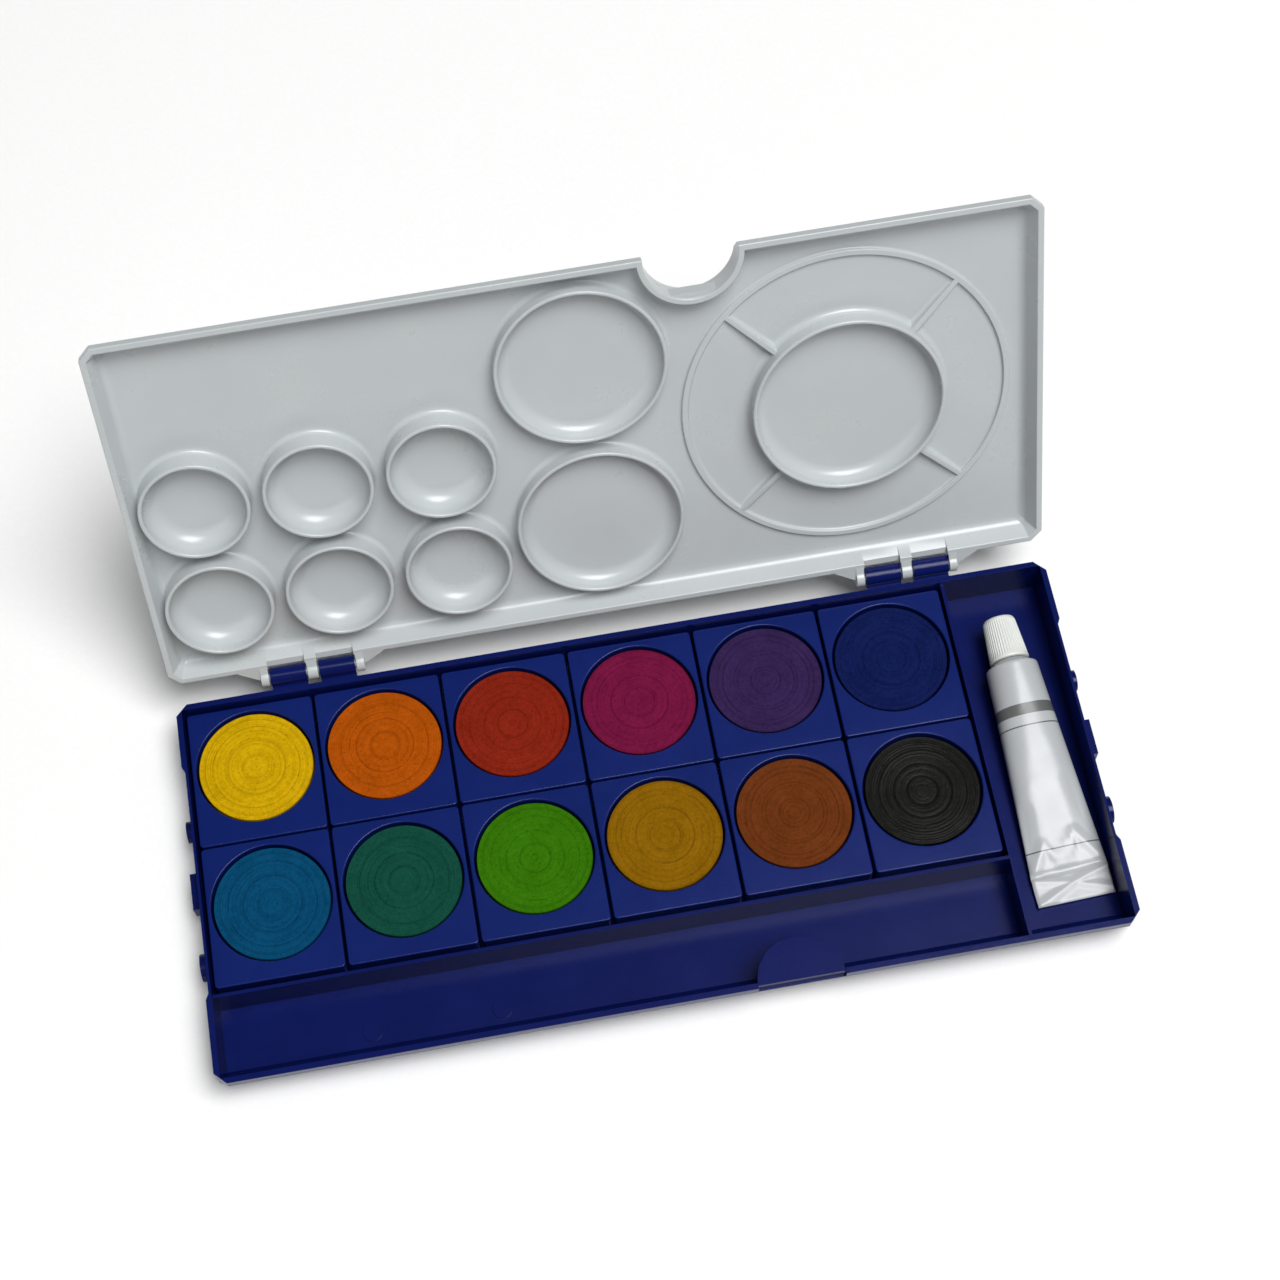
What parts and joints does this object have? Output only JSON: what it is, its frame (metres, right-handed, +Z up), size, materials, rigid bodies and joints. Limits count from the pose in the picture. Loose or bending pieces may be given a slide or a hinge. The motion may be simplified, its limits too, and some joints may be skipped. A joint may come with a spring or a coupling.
{
  "type": "gouache paint set box",
  "caption": "Flat plastic paint box with a hinged mixing-palette lid, lift-out pans of gouache in two rows, a brush channel and a screw-cap paint tube in its own compartment.",
  "frame": {"origin": "centre of the tray's underside", "axes": "+X along the hinge towards the tube compartment, +Y from the front towards the hinge, +Z up"},
  "size_m": [0.2382, 0.1588, 0.1104],
  "materials": {
    "blue_plastic": "satin moulded polystyrene",
    "white_plastic": "glossy moulded polystyrene",
    "pan_plastic": "satin moulded polystyrene",
    "gouache_yellow": "pressed dry gouache, matt and slightly porous",
    "gouache_orange": "pressed dry gouache, matt and slightly porous",
    "gouache_red": "pressed dry gouache, matt and slightly porous",
    "gouache_magenta": "pressed dry gouache, matt and slightly porous",
    "gouache_violet": "pressed dry gouache, matt and slightly porous",
    "gouache_ultramarine": "pressed dry gouache, matt and slightly porous",
    "gouache_cyan": "pressed dry gouache, matt and slightly porous",
    "gouache_green": "pressed dry gouache, matt and slightly porous",
    "gouache_lime": "pressed dry gouache, matt and slightly porous",
    "gouache_ochre": "pressed dry gouache, matt and slightly porous",
    "gouache_brown": "pressed dry gouache, matt and slightly porous",
    "gouache_black": "pressed dry gouache, matt and slightly porous",
    "painted_foil": "white lacquer on thin aluminium",
    "cap_plastic": "satin ribbed",
    "white_gouache": "soft paste"
  },
  "bodies": {
    "tray": {"tray": "blue_plastic"},
    "lid": {"lid": "white_plastic"},
    "yellow_pan": {"pan_yellow": "pan_plastic", "paint_yellow": "gouache_yellow"},
    "orange_pan": {"pan_orange": "pan_plastic", "paint_orange": "gouache_orange"},
    "red_pan": {"pan_red": "pan_plastic", "paint_red": "gouache_red"},
    "magenta_pan": {"pan_magenta": "pan_plastic", "paint_magenta": "gouache_magenta"},
    "violet_pan": {"pan_violet": "pan_plastic", "paint_violet": "gouache_violet"},
    "ultramarine_pan": {"pan_ultramarine": "pan_plastic", "paint_ultramarine": "gouache_ultramarine"},
    "cyan_pan": {"pan_cyan": "pan_plastic", "paint_cyan": "gouache_cyan"},
    "green_pan": {"pan_green": "pan_plastic", "paint_green": "gouache_green"},
    "lime_pan": {"pan_lime": "pan_plastic", "paint_lime": "gouache_lime"},
    "ochre_pan": {"pan_ochre": "pan_plastic", "paint_ochre": "gouache_ochre"},
    "brown_pan": {"pan_brown": "pan_plastic", "paint_brown": "gouache_brown"},
    "black_pan": {"pan_black": "pan_plastic", "paint_black": "gouache_black"},
    "tube": {"tube_body": "painted_foil", "tube_filling": "white_gouache"},
    "tube_cap": {"tube_cap": "cap_plastic"}
  },
  "joints": [
    {"name": "lid_hinge", "type": "hinge", "parent": "tray", "child": "lid", "pos_m": [0, 0.05488, 0.0155], "axis": [-1, 0, 0], "range_deg": [-117.4, 0]},
    {"name": "yellow_pan_lift", "type": "slide", "parent": "tray", "child": "yellow_pan", "axis": [0, 0, 1], "range_m": [0, 0.02]},
    {"name": "orange_pan_lift", "type": "slide", "parent": "tray", "child": "orange_pan", "axis": [0, 0, 1], "range_m": [0, 0.02]},
    {"name": "red_pan_lift", "type": "slide", "parent": "tray", "child": "red_pan", "axis": [0, 0, 1], "range_m": [0, 0.02]},
    {"name": "magenta_pan_lift", "type": "slide", "parent": "tray", "child": "magenta_pan", "axis": [0, 0, 1], "range_m": [0, 0.02]},
    {"name": "violet_pan_lift", "type": "slide", "parent": "tray", "child": "violet_pan", "axis": [0, 0, 1], "range_m": [0, 0.02]},
    {"name": "ultramarine_pan_lift", "type": "slide", "parent": "tray", "child": "ultramarine_pan", "axis": [0, 0, 1], "range_m": [0, 0.02]},
    {"name": "cyan_pan_lift", "type": "slide", "parent": "tray", "child": "cyan_pan", "axis": [0, 0, 1], "range_m": [0, 0.02]},
    {"name": "green_pan_lift", "type": "slide", "parent": "tray", "child": "green_pan", "axis": [0, 0, 1], "range_m": [0, 0.02]},
    {"name": "lime_pan_lift", "type": "slide", "parent": "tray", "child": "lime_pan", "axis": [0, 0, 1], "range_m": [0, 0.02]},
    {"name": "ochre_pan_lift", "type": "slide", "parent": "tray", "child": "ochre_pan", "axis": [0, 0, 1], "range_m": [0, 0.02]},
    {"name": "brown_pan_lift", "type": "slide", "parent": "tray", "child": "brown_pan", "axis": [0, 0, 1], "range_m": [0, 0.02]},
    {"name": "black_pan_lift", "type": "slide", "parent": "tray", "child": "black_pan", "axis": [0, 0, 1], "range_m": [0, 0.02]},
    {"name": "tube_lift", "type": "slide", "parent": "tray", "child": "tube", "axis": [0, 0, 1], "range_m": [0, 0.03]},
    {"name": "cap_turn", "type": "hinge", "parent": "tube", "child": "tube_cap", "pos_m": [0.103, 0.02448, 0.0087], "axis": [-0.0384, 0.9947, 0.0958], "range_deg": [0, 720]}
  ]
}
